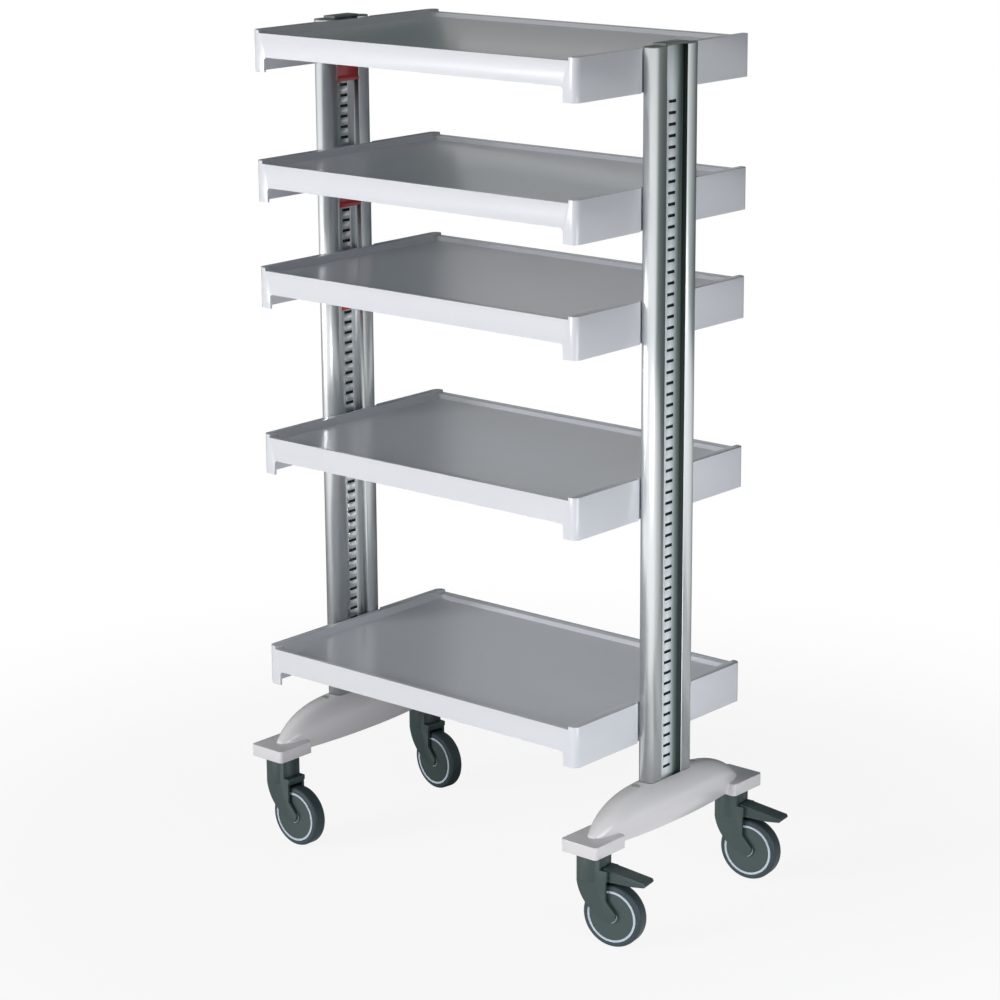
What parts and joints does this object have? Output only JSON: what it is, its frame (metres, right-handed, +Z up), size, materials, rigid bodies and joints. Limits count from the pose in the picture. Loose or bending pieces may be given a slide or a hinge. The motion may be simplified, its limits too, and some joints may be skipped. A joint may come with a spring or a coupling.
{
  "type": "medical trolley",
  "caption": "Open medical equipment trolley: shallow trays slide on two slotted columns with arched feet, swivel castors and brake pedals.",
  "frame": {"origin": "on the floor, midway between the two columns and midway from front to rear", "axes": "+Z up, +X along the trays towards the column with the braked castors, +Y towards the rear"},
  "size_m": [0.7985, 0.429, 1.359],
  "materials": {
    "tray_plastic": "satin moulded",
    "column_aluminium": "satin anodised",
    "cap_plastic": "matte",
    "foot_casting": "satin powder coat",
    "foot_plug_plastic": "matte",
    "washer_plastic": "matte",
    "guide_plastic": "matte acetal",
    "lock_plastic": "moulded gloss",
    "steel": "zinc plated",
    "castor_plastic": "grained",
    "cover_plastic": "grained",
    "rim_plastic": "moulded",
    "castor_tyre": "matte"
  },
  "bodies": {
    "frame": {"column_right": "column_aluminium", "column_left": "column_aluminium", "column_cap_right": "cap_plastic", "column_cap_left": "cap_plastic", "foot_right": "foot_casting", "foot_left": "foot_casting", "foot_plugs": "foot_plug_plastic", "castor_stems": "steel", "castor_washers": "washer_plastic", "tray_5": "tray_plastic", "tray_5_guides": "guide_plastic"},
    "tray_1": {"tray_1": "tray_plastic", "tray_1_guides": "guide_plastic", "tray_1_pivots": "steel"},
    "lock_1_right": {"lock_1_right": "lock_plastic"},
    "lock_1_left": {"lock_1_left": "lock_plastic"},
    "tray_2": {"tray_2": "tray_plastic", "tray_2_guides": "guide_plastic", "tray_2_pivots": "steel"},
    "lock_2_right": {"lock_2_right": "lock_plastic"},
    "lock_2_left": {"lock_2_left": "lock_plastic"},
    "tray_3": {"tray_3": "tray_plastic", "tray_3_guides": "guide_plastic", "tray_3_pivots": "steel"},
    "lock_3_right": {"lock_3_right": "lock_plastic"},
    "lock_3_left": {"lock_3_left": "lock_plastic"},
    "tray_4": {"tray_4": "tray_plastic", "tray_4_guides": "guide_plastic", "tray_4_pivots": "steel"},
    "lock_4_right": {"lock_4_right": "lock_plastic"},
    "lock_4_left": {"lock_4_left": "lock_plastic"},
    "castor_front_right": {"castor_front_right_fork": "castor_plastic", "castor_front_right_axle": "steel", "castor_front_right_pedal_pin": "steel"},
    "wheel_front_right": {"castor_front_right_rim": "rim_plastic", "castor_front_right_tyre": "castor_tyre", "castor_front_right_covers": "cover_plastic"},
    "pedal_front_right": {"castor_front_right_pedal": "castor_plastic"},
    "castor_rear_right": {"castor_rear_right_fork": "castor_plastic", "castor_rear_right_axle": "steel", "castor_rear_right_pedal_pin": "steel"},
    "wheel_rear_right": {"castor_rear_right_rim": "rim_plastic", "castor_rear_right_tyre": "castor_tyre", "castor_rear_right_covers": "cover_plastic"},
    "pedal_rear_right": {"castor_rear_right_pedal": "castor_plastic"},
    "castor_front_left": {"castor_front_left_fork": "castor_plastic", "castor_front_left_axle": "steel"},
    "wheel_front_left": {"castor_front_left_rim": "rim_plastic", "castor_front_left_tyre": "castor_tyre", "castor_front_left_covers": "cover_plastic"},
    "castor_rear_left": {"castor_rear_left_fork": "castor_plastic", "castor_rear_left_axle": "steel"},
    "wheel_rear_left": {"castor_rear_left_rim": "rim_plastic", "castor_rear_left_tyre": "castor_tyre", "castor_rear_left_covers": "cover_plastic"}
  },
  "joints": [
    {"name": "tray_1_height", "type": "slide", "parent": "frame", "child": "tray_1", "axis": [0, 0, 1], "range_m": [-0.051, 0]},
    {"name": "lock_1_right_swing", "type": "hinge", "parent": "tray_1", "child": "lock_1_right", "pos_m": [0.3232, 0, 1.295], "axis": [0, -1, 0], "range_deg": [0, 6.5]},
    {"name": "lock_1_left_swing", "type": "hinge", "parent": "tray_1", "child": "lock_1_left", "pos_m": [-0.3232, 0, 1.295], "axis": [0, 1, 0], "range_deg": [0, 6.5]},
    {"name": "tray_2_height", "type": "slide", "parent": "frame", "child": "tray_2", "axis": [0, 0, 1], "range_m": [-0.034, 0.034]},
    {"name": "lock_2_right_swing", "type": "hinge", "parent": "tray_2", "child": "lock_2_right", "pos_m": [0.3232, 0, 1.091], "axis": [0, -1, 0], "range_deg": [0, 6.5]},
    {"name": "lock_2_left_swing", "type": "hinge", "parent": "tray_2", "child": "lock_2_left", "pos_m": [-0.3232, 0, 1.091], "axis": [0, 1, 0], "range_deg": [0, 6.5]},
    {"name": "tray_3_height", "type": "slide", "parent": "frame", "child": "tray_3", "axis": [0, 0, 1], "range_m": [-0.068, 0.017]},
    {"name": "lock_3_right_swing", "type": "hinge", "parent": "tray_3", "child": "lock_3_right", "pos_m": [0.3232, 0, 0.921], "axis": [0, -1, 0], "range_deg": [0, 6.5]},
    {"name": "lock_3_left_swing", "type": "hinge", "parent": "tray_3", "child": "lock_3_left", "pos_m": [-0.3232, 0, 0.921], "axis": [0, 1, 0], "range_deg": [0, 6.5]},
    {"name": "tray_4_height", "type": "slide", "parent": "frame", "child": "tray_4", "axis": [0, 0, 1], "range_m": [-0.221, 0.085]},
    {"name": "lock_4_right_swing", "type": "hinge", "parent": "tray_4", "child": "lock_4_right", "pos_m": [0.3232, 0, 0.649], "axis": [0, -1, 0], "range_deg": [0, 6.5]},
    {"name": "lock_4_left_swing", "type": "hinge", "parent": "tray_4", "child": "lock_4_left", "pos_m": [-0.3232, 0, 0.649], "axis": [0, 1, 0], "range_deg": [0, 6.5]},
    {"name": "castor_front_right_swivel", "type": "hinge", "parent": "frame", "child": "castor_front_right", "pos_m": [0.333, -0.17725, 0.128], "axis": [0, 0, 1], "continuous": true},
    {"name": "wheel_front_right_roll", "type": "hinge", "parent": "castor_front_right", "child": "wheel_front_right", "pos_m": [0.37042, -0.17065, 0.05], "axis": [-0.1736, 0.9848, 0], "continuous": true},
    {"name": "pedal_front_right_press", "type": "hinge", "parent": "castor_front_right", "child": "pedal_front_right", "pos_m": [0.36107, -0.1723, 0.118], "axis": [-0.1736, 0.9848, 0], "range_deg": [0, 10]},
    {"name": "castor_rear_right_swivel", "type": "hinge", "parent": "frame", "child": "castor_rear_right", "pos_m": [0.333, 0.17725, 0.128], "axis": [0, 0, 1], "continuous": true},
    {"name": "wheel_rear_right_roll", "type": "hinge", "parent": "castor_rear_right", "child": "wheel_rear_right", "pos_m": [0.37063, 0.18254, 0.05], "axis": [-0.1392, 0.9903, 0], "continuous": true},
    {"name": "pedal_rear_right_press", "type": "hinge", "parent": "castor_rear_right", "child": "pedal_rear_right", "pos_m": [0.36122, 0.18122, 0.118], "axis": [-0.1392, 0.9903, 0], "range_deg": [0, 10]},
    {"name": "castor_front_left_swivel", "type": "hinge", "parent": "frame", "child": "castor_front_left", "pos_m": [-0.333, -0.17725, 0.128], "axis": [0, 0, 1], "continuous": true},
    {"name": "wheel_front_left_roll", "type": "hinge", "parent": "castor_front_left", "child": "wheel_front_left", "pos_m": [-0.29501, -0.17791, 0.05], "axis": [0.0175, 0.9998, 0], "continuous": true},
    {"name": "castor_rear_left_swivel", "type": "hinge", "parent": "frame", "child": "castor_rear_left", "pos_m": [-0.333, 0.17725, 0.128], "axis": [0, 0, 1], "continuous": true},
    {"name": "wheel_rear_left_roll", "type": "hinge", "parent": "castor_rear_left", "child": "wheel_rear_left", "pos_m": [-0.29537, 0.17196, 0.05], "axis": [0.1392, 0.9903, 0], "continuous": true}
  ]
}
